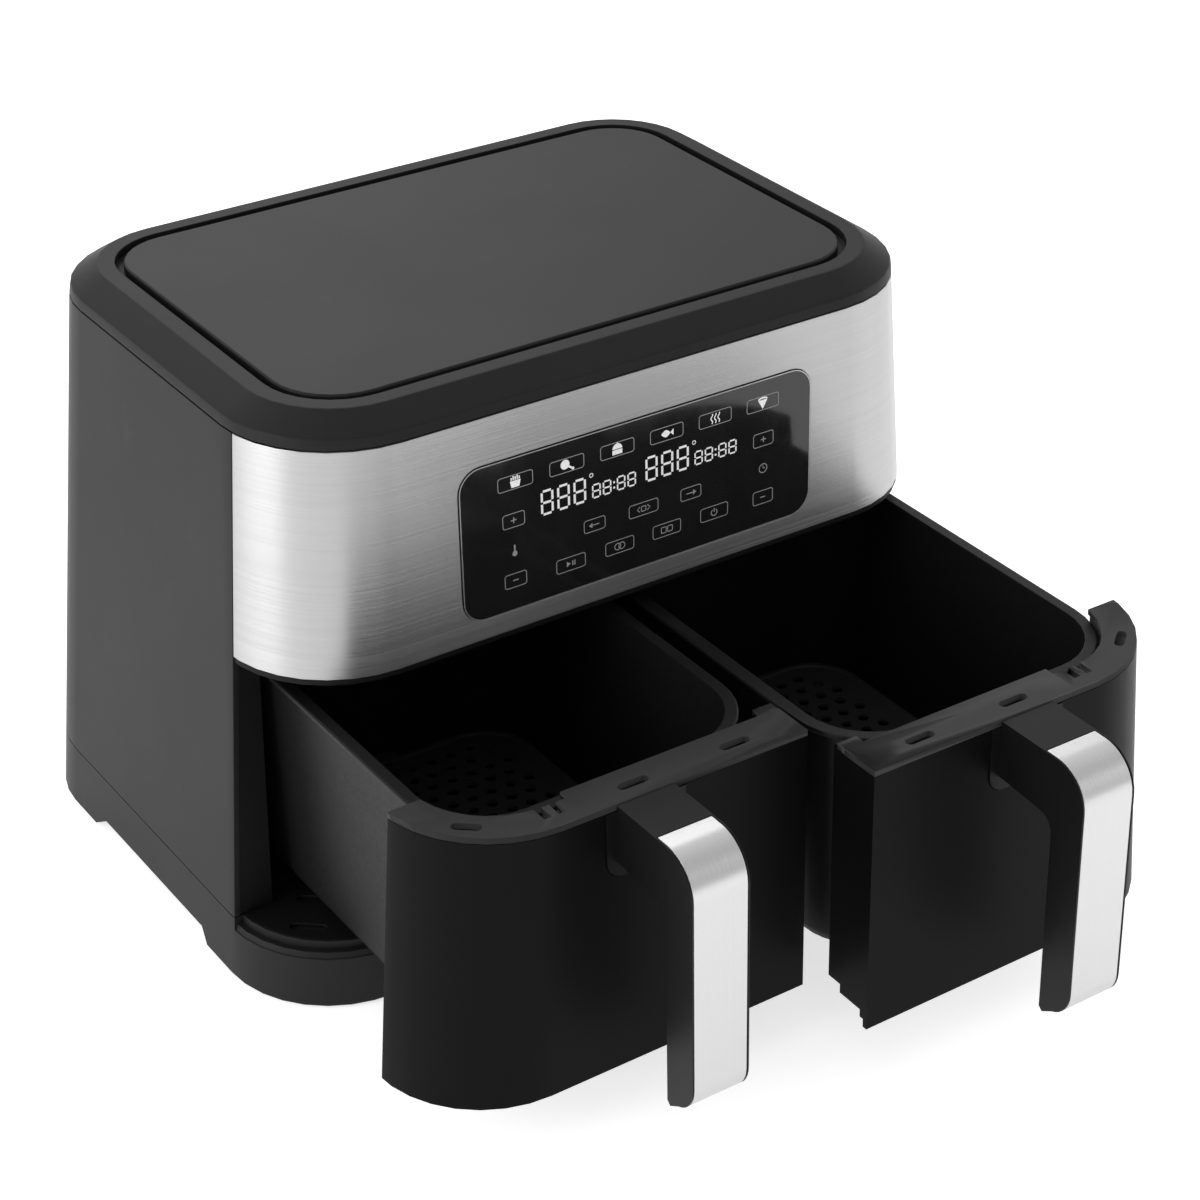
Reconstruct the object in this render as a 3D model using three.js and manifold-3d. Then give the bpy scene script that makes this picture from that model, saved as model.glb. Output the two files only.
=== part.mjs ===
// Dual-basket air fryer, millimetres, Z up, front towards -Y.
// It stands as it is used on a worktop: both drawers are pulled part of the way out.
import * as THREE from "three";
import { mergeVertices } from "three/addons/utils/BufferGeometryUtils.js";
import Module from "manifold-3d";

const wasm = await Module();
wasm.setup();

// ---- Driving dimensions ----
const WIDTH = 380; // body width at the foot of its walls
const DEPTH = 273; // body depth at the foot of its walls, handles not counted
const HEIGHT = 283; // top of the lid inlay above the datum
const SIDE_LEAN = 0.073; // how far a wall leans inwards per millimetre of height
const FRONT_LEAN = 0.034;
const BACK_LEAN = 0.082;
const FRONT_CORNER = 55; // plan radius of the vertical corners
const BACK_CORNER = 52;
const WALL = 3; // moulded body wall
const GAP = 0.3; // clearance between neighbouring pieces
const CORNER_STEPS = 8; // straight segments in each rounded corner

const LEFT_OPEN = 127.7; // how far each drawer stands open
const RIGHT_OPEN = 167.4;

// Heights are measured from a datum level just above the worktop.
const SOLE = -3.1; // underside of the rubber feet
const SKIRT = -1.9; // lower edge of the base
const LEDGE = 23.4; // top of the upright part of the base
const SILL = 26.2; // shelf that runs under the closed drawer fronts
const FLOOR = 30; // top of the base
const BAND_BOTTOM = 164.5; // lower edge of the steel band
const BAND_TOP = 269.6;

// Drawers.
const SEAM = 52.3; // the side panels start this far behind the front at the datum
const SEAM_LEAN = 0.0135;
const WRAP_GAP = 0.7; // the drawer fronts reach round the corners and stop this short of that seam
const DRAWER_BOTTOM = 26.6;
const DRAWER_TOP = 157.7;
const DRAWER_INSET = 1.5; // drawer fronts sit this far inside the body outline
const SKIN = 2.5; // thickness of a drawer front
const CENTRE_GAP = 1.8; // half the gap between the two drawer fronts
const TRIM = 2.8; // thickness of the cover along the top of a drawer front
const TRIM_CORNER = 16.7; // inner edge of that cover in the corner
const TRIM_FRONT = 21.5; // inner edge along the straight front
const BAY_X = 84; // middle of a bay, its pan and its handle

// Pans.
const PAN_IN = 4.5; // rim next to the other pan
const PAN_OUT = 163.5;
const PAN_FRONT = 20; // rim, measured behind the drawer front
const PAN_BACK = 232;
const PAN_CORNER = 38;
const PAN_TOP = 152.5;
const PAN_BOTTOM = 34.3;
const PAN_SHEET = 2;
const PLATE_Z = 48; // underside of the crisper plate
const RETURN = 2.4; // the drawer's end wall stands this far behind the edge of its face

// Handles, measured forwards from the front plane.
const HANDLE_WIDTH = 28.4;
const HANDLE_TOP = 157.2;
const ARM_UNDERSIDE = 130;
const GRIP_INNER = 32;
const GRIP_OUTER = 50;
const GRIP_BOTTOM = 29.5;
const STEEL_WIDTH = 26.4;
const STEEL = 1.2;

// Control panel.
const PANEL_X = 2.5;
const PANEL_HALF = 93;
const PANEL_LOW = 174.4;
const PANEL_HIGH = 247.3;
const PANEL_CORNER = 11;

// Heating chambers above the bays.
const DOME_RADIUS = 70;
const DOME_Y = 6;
const DOME_TOP = 200;
const BAY_TOP = 163.8;

const FAR = 400; // reaches past the whole body

// ---- Solids ----

// A closed three.js geometry as a solid.
function solid(geometry) {
  const bare = geometry.clone();
  bare.deleteAttribute("normal");
  bare.deleteAttribute("uv");
  const merged = mergeVertices(bare, 1e-4);
  const mesh = new wasm.Mesh({
    numProp: 3,
    vertProperties: merged.attributes.position.array,
    triVerts: new Uint32Array(merged.index.array),
  });
  return new wasm.Manifold(mesh);
}

function union(...solids) {
  return solids.reduce((sum, next) => sum.add(next));
}

// A solid moved and turned by a three.js matrix.
function placed(body, matrix) {
  return body.transform(matrix.elements);
}

const moved = (body, x, y, z) => placed(body, new THREE.Matrix4().makeTranslation(x, y, z));
const turned = (body, angle) => placed(body, new THREE.Matrix4().makeRotationZ(angle));
const mirrored = (body) => placed(body, new THREE.Matrix4().makeScale(-1, 1, 1));

// Shears a solid so that what was upright follows the leaning front.
function leaned(body) {
  const shear = new THREE.Matrix4().set(1, 0, 0, 0, 0, 1, FRONT_LEAN, 0, 0, 0, 1, 0, 0, 0, 0, 1);
  return placed(body, shear);
}

// Skins a stack of [z, outline] sections that all have the same number of points.
function loft(sections) {
  const count = sections[0][1].length;
  const positions = sections.flatMap(([z, outline]) => outline.flatMap(([x, y]) => [x, y, z]));
  const faces = [];
  for (let level = 0; level < sections.length - 1; level += 1) {
    for (let i = 0; i < count; i += 1) {
      const a = level * count + i;
      const b = level * count + ((i + 1) % count);
      faces.push(a, b, b + count, a, b + count, a + count);
    }
  }
  const cap = (outline) => {
    const contour = outline.map(([x, y]) => new THREE.Vector2(x, y));
    return THREE.ShapeUtils.triangulateShape(contour, []);
  };
  const top = (sections.length - 1) * count;
  cap(sections[0][1]).forEach(([a, b, c]) => faces.push(c, b, a));
  cap(sections.at(-1)[1]).forEach(([a, b, c]) => faces.push(top + a, top + b, top + c));
  const geometry = new THREE.BufferGeometry();
  geometry.setAttribute("position", new THREE.Float32BufferAttribute(positions, 3));
  geometry.setIndex(faces);
  return solid(geometry);
}

// Extrudes a drawn outline, with holes, upwards from z0 to z1.
function prism(outline, z0, z1, holes = []) {
  const shape = new THREE.Shape(outline.map(([x, y]) => new THREE.Vector2(x, y)));
  shape.holes = holes.map((hole) => new THREE.Path(hole.map(([x, y]) => new THREE.Vector2(x, y))));
  const geometry = new THREE.ExtrudeGeometry(shape, { depth: z1 - z0, bevelEnabled: false });
  return moved(solid(geometry), 0, 0, z0);
}

// Extrudes an outline drawn in the (y, z) plane from x0 to x1.
function prismX(outline, x0, x1) {
  const axes = new THREE.Matrix4().makeBasis(
    new THREE.Vector3(0, 1, 0),
    new THREE.Vector3(0, 0, 1),
    new THREE.Vector3(1, 0, 0),
  );
  return placed(prism(outline, x0, x1), axes);
}

// Extrudes an outline drawn in the (x, z) plane from y0 to y1.
function prismY(outline, y0, y1) {
  const axes = new THREE.Matrix4().makeBasis(
    new THREE.Vector3(1, 0, 0),
    new THREE.Vector3(0, 0, 1),
    new THREE.Vector3(0, -1, 0),
  );
  return placed(prism(outline, -y1, -y0), axes);
}

function box(x0, x1, y0, y1, z0, z1) {
  const geometry = new THREE.BoxGeometry(x1 - x0, y1 - y0, z1 - z0);
  return moved(solid(geometry), (x0 + x1) / 2, (y0 + y1) / 2, (z0 + z1) / 2);
}

// An upright rod, and one that lies along Y.
function rod(radius, x, y, z0, z1, steps = 20) {
  return moved(prism(circle(radius, steps), z0, z1), x, y, 0);
}

function rodY(radius, x, z, y0, y1, steps = 16) {
  return moved(prismY(circle(radius, steps), y0, y1), x, 0, z);
}

// ---- Outlines ----

function circle(radius, steps) {
  return Array.from({ length: steps }, (_, i) => {
    const angle = (i / steps) * 2 * Math.PI;
    return [radius * Math.cos(angle), radius * Math.sin(angle)];
  });
}

function arc(cx, cy, radius, fromDegrees, toDegrees, steps = CORNER_STEPS) {
  return Array.from({ length: steps + 1 }, (_, i) => {
    const angle = THREE.MathUtils.degToRad(fromDegrees + ((toDegrees - fromDegrees) * i) / steps);
    return [cx + radius * Math.cos(angle), cy + radius * Math.sin(angle)];
  });
}

// A rectangle with its own corner radius at the low-y and the high-y side.
function roundedRectangle(x0, x1, y0, y1, low, high = low, steps = CORNER_STEPS) {
  return [
    ...arc(x0 + low, y0 + low, low, 180, 270, steps),
    ...arc(x1 - low, y0 + low, low, 270, 360, steps),
    ...arc(x1 - high, y1 - high, high, 0, 90, steps),
    ...arc(x0 + high, y1 - high, high, 90, 180, steps),
  ];
}

// A long hole with round ends, centred on the origin and lying along X.
function slot(length, width, steps = 5) {
  const reach = (length - width) / 2;
  return [...arc(reach, 0, width / 2, -90, 90, steps), ...arc(-reach, 0, width / 2, 90, 270, steps)];
}

const halfWidthAt = (z) => WIDTH / 2 - SIDE_LEAN * z;
const frontAt = (z) => -DEPTH / 2 + FRONT_LEAN * z;
const backAt = (z) => DEPTH / 2 - BACK_LEAN * z;
const seamAt = (z) => -DEPTH / 2 + SEAM + SEAM_LEAN * z;

// The body outline at height z, moved inwards by inset.
function bodyOutline(z, inset) {
  const half = halfWidthAt(z) - inset;
  return roundedRectangle(
    -half,
    half,
    frontAt(z) + inset,
    backAt(z) - inset,
    FRONT_CORNER - inset,
    BACK_CORNER - inset,
  );
}

const bodyBlock = (z0, z1, inset) =>
  loft([
    [z0, bodyOutline(z0, inset)],
    [z1, bodyOutline(z1, inset)],
  ]);

// The part of the body's wall between two insets.
function bodyWall(z0, z1, outer, inner) {
  return bodyBlock(z0, z1, outer).subtract(bodyBlock(z0 - 1, z1 + 1, inner));
}

// Everything between two leaning planes, each given as its y at a height.
function slab(nearAt, farAt) {
  const bottom = -10;
  const top = HEIGHT + 10;
  const outline = [
    [nearAt(bottom), bottom],
    [farAt(bottom), bottom],
    [farAt(top), top],
    [nearAt(top), top],
  ];
  return prismX(outline, -FAR, FAR);
}

// The part of the body in front of the side seam, less a gap, and the part behind it.
const aheadOfSeam = (gap) => slab((z) => frontAt(z) - 5, (z) => seamAt(z) - gap);
const behindSeam = () => slab(seamAt, () => FAR);

// A block whose y range is measured behind the leaning front plane.
function frontBlock(x0, x1, near, far, z0, z1) {
  return leaned(box(x0, x1, near - DEPTH / 2, far - DEPTH / 2, z0, z1));
}

// ---- Housing ----

const BAY_FLOOR = 2; // thickness of the black floor plate let into the base
const FLOOR_INSET = 5; // edge of its recess
const FLOOR_BACK = -71; // the plate ends here, under the bay liners

function baseTray() {
  const section = [
    [SKIRT, 0.9],
    [SKIRT + 1, 0],
    [LEDGE, 0],
    [LEDGE + 0.3, 0.7],
    [SILL, 1.5],
  ];
  const skirt = loft(section.map(([z, inset]) => [z, bodyOutline(z, inset)]));
  const rim = bodyBlock(SILL - 1, FLOOR, DRAWER_INSET + SKIN + 0.5);
  const rearRim = bodyBlock(LEDGE - 1, FLOOR, 0).intersect(behindSeam());
  const hollow = union(bodyBlock(-10, LEDGE - WALL, WALL), bodyBlock(10, FLOOR - BAY_FLOOR - 1.6, 8));
  const recess = bodyBlock(FLOOR - BAY_FLOOR, FLOOR + 1, FLOOR_INSET).intersect(floorRegion(GAP));
  let tray = union(skirt, rim, rearRim).subtract(hollow).subtract(recess);

  const feet = footPlaces.map(([x, y]) => rod(15, x, y, SKIRT, FLOOR - BAY_FLOOR - 1, 14));
  tray = union(tray, ...feet);
  footPlaces.forEach(([x, y]) => {
    tray = tray.subtract(rod(11 + GAP, x, y, SKIRT - 1, SOLE + 5, 14));
  });

  // The skirt is raised between the feet.
  const rise = 6.5;
  const sideArch = [
    [-58.5, SKIRT - 1],
    [64, SKIRT - 1],
    [49, rise],
    [-52, rise],
  ];
  const frontArch = [
    [-113, SKIRT - 1],
    [113, SKIRT - 1],
    [105, rise],
    [-105, rise],
  ];
  tray = tray.subtract(prismX(sideArch, -FAR, FAR)).subtract(prismY(frontArch, -FAR, FAR));

  // Rails that carry the pans.
  const rails = [-1, 1].flatMap((side) =>
    [-45, 45].map((offset) => {
      const x = side * BAY_X + offset;
      return box(x - 3, x + 3, FLOOR_BACK + 1, 90, FLOOR - 1, PAN_BOTTOM - GAP);
    }),
  );
  return union(tray, ...rails);
}

const floorRegion = (slack) => slab((z) => frontAt(z) - 5, () => FLOOR_BACK + slack);

// Black plate that forms the floor at the mouth of both bays, with two slots at each corner.
function bayFloor() {
  const low = FLOOR - BAY_FLOOR + GAP;
  let plate = bodyBlock(low, FLOOR, FLOOR_INSET + GAP).intersect(floorRegion(0));
  [-1, 1].forEach((side) => {
    const cut = (length) => turned(prism(slot(length, 4.6, 3), low - 1, FLOOR + 1), side * 0.68);
    plate = plate.subtract(moved(cut(17), side * 163, -108, 0)).subtract(moved(cut(12), side * 152, -90, 0));
  });
  return plate;
}

const footPlaces = [
  [-148, -92],
  [148, -92],
  [-148, 92],
  [148, 92],
];

function rubberFoot() {
  const profile = [
    [0, SOLE],
    [9.6, SOLE],
    [11, SOLE + 1],
    [11, SOLE + 4.6],
    [0, SOLE + 4.6],
  ].map(([r, z]) => new THREE.Vector2(r, z));
  return placed(solid(new THREE.LatheGeometry(profile, 14)), new THREE.Matrix4().makeRotationX(Math.PI / 2));
}

function outerShell() {
  const bottom = FLOOR + GAP;
  const top = BAND_TOP - GAP;
  const walls = bodyWall(bottom, top, 0, WALL).intersect(behindSeam());
  const ventHole = prismY(ventOutline(0), 60, FAR);
  const cordHole = rodY(cordGland.radius + GAP, cordGland.x, cordGland.z, 60, FAR);
  return walls.subtract(ventHole).subtract(cordHole);
}

const vent = { half: 72, low: 178, high: 236, corner: 6 };
const ventOutline = (inset) =>
  roundedRectangle(
    -vent.half + inset,
    vent.half - inset,
    vent.low + inset,
    vent.high - inset,
    vent.corner,
    vent.corner,
    4,
  );

// The louvred exhaust set into the back wall.
function rearGrille() {
  const sheet = bodyWall(vent.low, vent.high, 0.4, WALL - 0.2).intersect(prismY(ventOutline(GAP), 60, FAR));
  const rows = 6;
  const pitch = (vent.high - vent.low - 10) / rows;
  const slots = Array.from({ length: rows }, (_, i) => {
    const z = vent.low + 5 + (i + 0.5) * pitch;
    return [-46, 0, 46].map((x) => moved(prismY(slot(40, 4.4, 3), 60, FAR), x, 0, z));
  });
  return slots.flat().reduce((left, cut) => left.subtract(cut), sheet);
}

const cordGland = { radius: 9, x: 120, z: 58 };

// The cord's strain-relief bush; the cord itself is not part of the model.
function cordInlet() {
  const wall = backAt(cordGland.z);
  const collar = rodY(cordGland.radius, cordGland.x, cordGland.z, wall - 8, wall + 1);
  const flange = rodY(cordGland.radius + 3, cordGland.x, cordGland.z, wall + 1, wall + 3);
  const nose = rodY(cordGland.radius - 2.5, cordGland.x, cordGland.z, wall + 2, wall + 10);
  const nut = rodY(cordGland.radius + 3, cordGland.x, cordGland.z, wall - 9, wall - 5, 6);
  const bore = rodY(3.6, cordGland.x, cordGland.z, wall - 20, wall + 20, 12);
  return union(collar, flange, nose, nut).subtract(bore);
}

const BULKHEAD = 3.2; // back of the bulkhead behind the seam

// Bulkhead with the two bay openings, the lip over the drawers and the backing of the steel band.
function frontFrame() {
  const top = BAND_TOP - GAP;
  const lipTop = BAND_BOTTOM - GAP;
  const lipLow = lipTop - 2.7;
  const inShell = bodyBlock(FLOOR + GAP, lipTop, WALL + GAP);
  const plate = inShell.intersect(slab((z) => seamAt(z) + 0.6, (z) => seamAt(z) + BULKHEAD));
  const lip = bodyBlock(lipLow, lipTop, 0.6).intersect(aheadOfSeam(GAP));
  const bridge = bodyBlock(lipLow, lipTop, WALL + GAP).intersect(aheadOfSeam(-1));
  const backing = bodyWall(lipTop - 1, top, 1.7, 4.2).intersect(aheadOfSeam(GAP));
  let frame = union(plate, lip, bridge, backing);
  const opening = [
    [3.4, FLOOR - 5],
    [167.6, FLOOR - 5],
    [164.6, lipLow],
    [3.4, lipLow],
  ];
  const cut = prismY(opening, -95, -60);
  frame = frame.subtract(cut).subtract(mirrored(cut));
  const window = roundedRectangle(PANEL_X - 80, PANEL_X + 80, PANEL_LOW + 8, PANEL_HIGH - 8, 6, 6, 3);
  return frame.subtract(prismY(window, -150, -100));
}

function panelOutline(grow) {
  return roundedRectangle(
    PANEL_X - PANEL_HALF - grow,
    PANEL_X + PANEL_HALF + grow,
    PANEL_LOW - grow,
    PANEL_HIGH + grow,
    PANEL_CORNER + grow,
    PANEL_CORNER + grow,
    6,
  );
}

// The steel band across the front and round both corners.
function frontBand() {
  const band = bodyWall(BAND_BOTTOM, BAND_TOP - GAP, 0, 1.4).intersect(aheadOfSeam(GAP));
  return band.subtract(leaned(prismY(panelOutline(GAP), -DEPTH / 2 - 5, -DEPTH / 2 + 5)));
}

function controlPanel() {
  return leaned(prismY(panelOutline(0), -DEPTH / 2 - 0.4, -DEPTH / 2 + 1.4));
}

function displayBoard() {
  const board = frontBlock(PANEL_X - 84, PANEL_X + 84, 4.6, 6.2, PANEL_LOW + 4, PANEL_HIGH - 4);
  const displays = [-32, 22].map((x) => frontBlock(PANEL_X + x - 18, PANEL_X + x + 18, 2.2, 4.8, 210, 228));
  const chips = [-60, 0, 60].map((x) => frontBlock(PANEL_X + x - 6, PANEL_X + x + 6, 6, 8.4, 200, 212));
  const plug = frontBlock(PANEL_X - 10, PANEL_X + 10, 6, 12, 182, 190);
  return union(board, ...displays, ...chips, plug);
}

const GROOVE = 20.3; // outer edge of the groove round the lid inlay
const GROOVE_WIDTH = 3.8;

function topCover() {
  const bottom = BAND_TOP + GAP;
  const edge = [
    [bottom, 0],
    [bottom + 4.6, 0.3],
    [bottom + 5.4, 0.9],
    [HEIGHT - 0.4, 11.8],
    [HEIGHT, 12.6],
  ];
  const block = loft(edge.map(([z, inset]) => [z, bodyOutline(z, inset)]));
  const underside = bodyBlock(bottom - 1, HEIGHT - 7.5, 14);
  const recess = bodyBlock(HEIGHT - 4.5, HEIGHT + 1, GROOVE);
  return block.subtract(underside).subtract(recess);
}

function topPanel() {
  const inset = GROOVE + GROOVE_WIDTH;
  return loft([
    [HEIGHT - 4.2, bodyOutline(HEIGHT, inset)],
    [HEIGHT - 1, bodyOutline(HEIGHT, inset)],
    [HEIGHT - 0.3, bodyOutline(HEIGHT, inset + 0.3)],
    [HEIGHT, bodyOutline(HEIGHT, inset + 1)],
  ]);
}

// ---- Cooking chambers, drawn for the right-hand bay ----

// The sheet liner of a bay with the round heating chamber on top of it.
function bayLiner() {
  const back = 107;
  const front = seamAt(BAY_TOP) + BULKHEAD + 0.5;
  const plan = (inset) =>
    roundedRectangle(2.6 + inset, 168 - inset, front - 5 * inset, back - inset, 2, 42 - inset, 8);
  const shell = union(
    prism(plan(0), FLOOR + GAP, BAY_TOP),
    rod(DOME_RADIUS, BAY_X, DOME_Y, BAY_TOP - 2, DOME_TOP, 26),
  );
  const space = union(
    prism(plan(1), FLOOR - 5, BAY_TOP - 1),
    rod(DOME_RADIUS - 1, BAY_X, DOME_Y, BAY_TOP - 4, DOME_TOP - 1, 26),
  );
  const shaftHole = rod(6, BAY_X, DOME_Y, DOME_TOP - 5, DOME_TOP + 5, 12);
  const leadHoles = heaterEnds.map(([x, y]) => rod(5.2, x, y, DOME_TOP - 5, DOME_TOP + 5, 12));
  const bayOutlet = prismY(roundedRectangle(50, 118, 120, 150, 6, 6, 3), back - 5, back + 5);
  return [shaftHole, ...leadHoles, bayOutlet].reduce((left, cut) => left.subtract(cut), shell.subtract(space));
}

const coil = { radius: 53, step: 8, turns: 1.75, low: 172, pitch: 8, tube: 3.2 };

// Centre line of the element; its first quarter steps outwards so that both leads stay clear.
function coilPoint(t) {
  const angle = t * coil.turns * 2 * Math.PI;
  const radius = coil.radius + coil.step * Math.max(0, 1 - 4 * t);
  const z = coil.low + coil.pitch * coil.turns * t;
  return new THREE.Vector3(BAY_X + radius * Math.cos(angle), DOME_Y + radius * Math.sin(angle), z);
}
const heaterEnds = [coilPoint(0), coilPoint(1)].map((point) => [point.x, point.y]);

// A coiled tubular element; both ends rise through the roof of the chamber.
function heater() {
  const rise = (t, z) => coilPoint(t).setZ(z);
  const steps = 22;
  const spiral = Array.from({ length: steps + 1 }, (_, i) => coilPoint(i / steps));
  const points = [rise(0, 206), rise(0, 190), rise(0, 178), ...spiral, rise(1, 192), rise(1, 206)];
  const path = new THREE.CatmullRomCurve3(points, false, "centripetal");
  const section = new THREE.Shape(circle(coil.tube, 6).map(([x, y]) => new THREE.Vector2(x, y)));
  return solid(new THREE.ExtrudeGeometry(section, { steps: 46, extrudePath: path, bevelEnabled: false }));
}

// Rings and spokes that keep food off the element.
function heaterGuard() {
  const low = BAY_TOP + 0.5;
  const high = low + 2;
  const ring = (radius) => prism(circle(radius, 18), low, high, [circle(radius - 2.6, 18).reverse()]);
  const rings = [67, 36].map((radius) => moved(ring(radius), BAY_X, DOME_Y, 0));
  const spokes = [0, 60, 120].map((angle) => {
    const bar = box(-65.5, 65.5, -1.3, 1.3, low, high);
    return moved(turned(bar, THREE.MathUtils.degToRad(angle)), BAY_X, DOME_Y, 0);
  });
  return union(...rings, ...spokes);
}

// Radial fan wheel with its shaft, drawn on its own axis.
function fanWheel() {
  const disc = rod(46, 0, 0, 194, 195.4, 28);
  const hub = rod(9, 0, 0, 184, 195, 16);
  const shaft = rod(3, 0, 0, 186, 206, 12);
  const blades = Array.from({ length: 8 }, (_, i) => {
    const blade = box(8, 45, -0.8, 0.8, 185, 194.5);
    return turned(blade, (i / 8) * 2 * Math.PI);
  });
  return union(disc, hub, shaft, ...blades);
}

function fanMotor() {
  const flange = rod(30, BAY_X, DOME_Y, DOME_TOP + GAP, DOME_TOP + 2.5, 24);
  const can = rod(23, BAY_X, DOME_Y, DOME_TOP + 2, 236, 24);
  const cap = rod(10, BAY_X, DOME_Y, 235, 241, 16);
  const bore = rod(4.2, BAY_X, DOME_Y, DOME_TOP - 2, DOME_TOP + 9, 12);
  const slots = [0, 1].map((i) => {
    const cut = box(-40, 40, -4, 4, 218, 226).subtract(rod(20.5, 0, 0, 210, 230, 20));
    return moved(turned(cut, (i * Math.PI) / 2), BAY_X, DOME_Y, 0);
  });
  return [bore, ...slots].reduce((left, cut) => left.subtract(cut), union(flange, can, cap));
}

// Upright circuit board in the valley between the two chambers.
function powerBoard() {
  const board = box(-0.8, 0.8, -62, 74, BAY_TOP + 1, 252);
  const transformer = box(0, 22, -30, 4, 214, 244);
  const relays = [22, 46].map((y) => box(0, 16, y, y + 18, 216, 232));
  const capacitors = [-50, -38].map((y) => {
    const can = prismX(circle(5, 12), 0, 20);
    return moved(can, 0, y, 236);
  });
  const heatSink = box(-14, 0, -10, 40, 214, 240);
  const fins = Array.from({ length: 4 }, (_, i) => box(-15, -3, -4 + i * 12, 2 + i * 12, 210, 245));
  return fins.reduce((left, cut) => left.subtract(cut), union(board, transformer, ...relays, ...capacitors, heatSink));
}

// ---- Drawers, drawn closed and for the right-hand side ----

const handleScrewHeights = [147, 136];
const panScrewPlaces = [BAY_X - 45, BAY_X + 30];
const PAN_SCREW_Z = 100;

// What a closed drawer may fill: outwards from x, up to the side seam.
const drawerSide = (x) => box(x, FAR, -FAR, FAR, 0, HEIGHT).intersect(aheadOfSeam(WRAP_GAP));

// The curved front of a drawer, with the stepped end wall next to the other drawer.
function drawerFront() {
  const top = DRAWER_TOP - TRIM - GAP;
  const skin = bodyWall(DRAWER_BOTTOM, top, DRAWER_INSET, DRAWER_INSET + SKIN).intersect(drawerSide(CENTRE_GAP));
  const end = CENTRE_GAP + RETURN;
  const root = DRAWER_INSET + SKIN / 2;
  const flange = frontBlock(CENTRE_GAP + 0.2, end + 1, root, 6.5, FLOOR + 0.4, top);
  const low = frontBlock(end, end + 1.6, root, 23, FLOOR + 1.4, top);
  const high = frontBlock(end, end + 1.6, 20, 31, DRAWER_BOTTOM + 9.3, top);
  let front = union(skin, flange, low, high);
  const recess = prismY(mountOutline(GAP), DRAWER_INSET - 5 - DEPTH / 2, DRAWER_INSET + 1.2 - DEPTH / 2);
  front = front.subtract(leaned(recess));
  handleScrewHeights.forEach((z) => {
    front = front.subtract(leaned(rodY(2.3, BAY_X, z, -DEPTH / 2 - 5, -DEPTH / 2 + 9)));
  });
  return front;
}

// Outline of the plate that carries the handle; it runs up to the cover.
function mountOutline(grow) {
  const top = DRAWER_TOP - TRIM - GAP + grow;
  return roundedRectangle(BAY_X - 19.5 - grow, BAY_X + 19.5 + grow, 123 - grow, top, 8, 0.5, 5);
}

// The cover along the top of the drawer front, with the box section behind the skin.
function drawerFrame() {
  const inner = DRAWER_INSET + SKIN + GAP;
  const low = DRAWER_TOP - TRIM;
  const corner = bodyWall(low, DRAWER_TOP, DRAWER_INSET, TRIM_CORNER).intersect(drawerSide(CENTRE_GAP));
  const straight = frontBlock(CENTRE_GAP, 112, DRAWER_INSET + 1, TRIM_FRONT, low, DRAWER_TOP);
  const tab = frontBlock(CENTRE_GAP + 0.4, 12, TRIM_FRONT - 2, TRIM_FRONT + 5, low, DRAWER_TOP);
  const sill = FLOOR + 0.7;
  const web = bodyWall(sill, low + 1, 13.6, 15.6).intersect(drawerSide(inner + CENTRE_GAP));
  const sole = bodyWall(sill, sill + 2, inner, 14.6).intersect(drawerSide(inner + CENTRE_GAP));
  const edge = inner + CENTRE_GAP + 0.2;
  const end = frontBlock(edge, edge + 1.8, inner, 14.4, sill + 0.2, low + 0.6);
  const frame = union(corner, straight, tab, web, sole, end);

  const through = (outline) => leaned(prism(outline, low - 1, DRAWER_TOP + 1));
  const cuts = [
    moved(through(slot(15, 4.6)), 33, 10.5 - DEPTH / 2, 0),
    moved(through(slot(15, 4.6)), BAY_X, 10.5 - DEPTH / 2, 0),
    moved(leaned(turned(prism(slot(13, 4.6), low - 1, DRAWER_TOP + 1), 0.67)), 156, 22 - DEPTH / 2, 0),
    ...[119, 126].map((x) => frontBlock(x - 1.7, x + 1.7, 9, 18, low - 1, DRAWER_TOP + 1)),
    ...panScrewPlaces.map((x) => leaned(rodY(2.3, x, PAN_SCREW_Z, 10 - DEPTH / 2, 20 - DEPTH / 2))),
  ];
  return cuts.reduce((left, cut) => left.subtract(cut), frame);
}

// The grip's outer edge as [forward, z] points from the top of the arm to its foot, moved inwards.
function gripEdge(inset, start, end) {
  const outer = 18;
  const foot = 15;
  const top = HANDLE_TOP - inset;
  const face = GRIP_OUTER - inset;
  const turn = outer - inset;
  const toe = arc(face - foot + inset, GRIP_BOTTOM + 3 + foot, foot - inset, 0, -70, 7);
  const crown = arc(face - turn, top - turn, turn, 90, 0, 9);
  return [[start, top], ...crown, ...toe].slice(0, end);
}

// A profile of [forward, z] points swept to a width about the bay's middle plane.
function handleSweep(profile, width) {
  const outline = profile.map(([forward, z]) => [-DEPTH / 2 - forward, z]);
  return leaned(prismX(outline.reverse(), BAY_X - width / 2, BAY_X + width / 2));
}

function handle() {
  const root = -DRAWER_INSET + GAP;
  const bend = 8;
  const underside = arc(GRIP_INNER - bend, ARM_UNDERSIDE - 2 - bend, bend, 0, 90, 5);
  const edge = gripEdge(0, root);
  const profile = [...edge, [GRIP_INNER + 2, GRIP_BOTTOM], [GRIP_INNER, GRIP_BOTTOM + 2], ...underside];
  profile.push([root, ARM_UNDERSIDE]);
  const body = handleSweep(profile, HANDLE_WIDTH);
  const steelBed = steelStrip(STEEL + GAP, STEEL_WIDTH + 2 * GAP, GAP);
  const mount = leaned(prismY(mountOutline(0), -DEPTH / 2 + 0.9, -DEPTH / 2 + DRAWER_INSET + 0.9));
  const holes = handleScrewHeights.map((z) => leaned(rodY(2, BAY_X, z, -DEPTH / 2 - 9, -DEPTH / 2 + 9)));
  return holes.reduce((left, cut) => left.subtract(cut), union(body, mount).subtract(steelBed));
}

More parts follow.
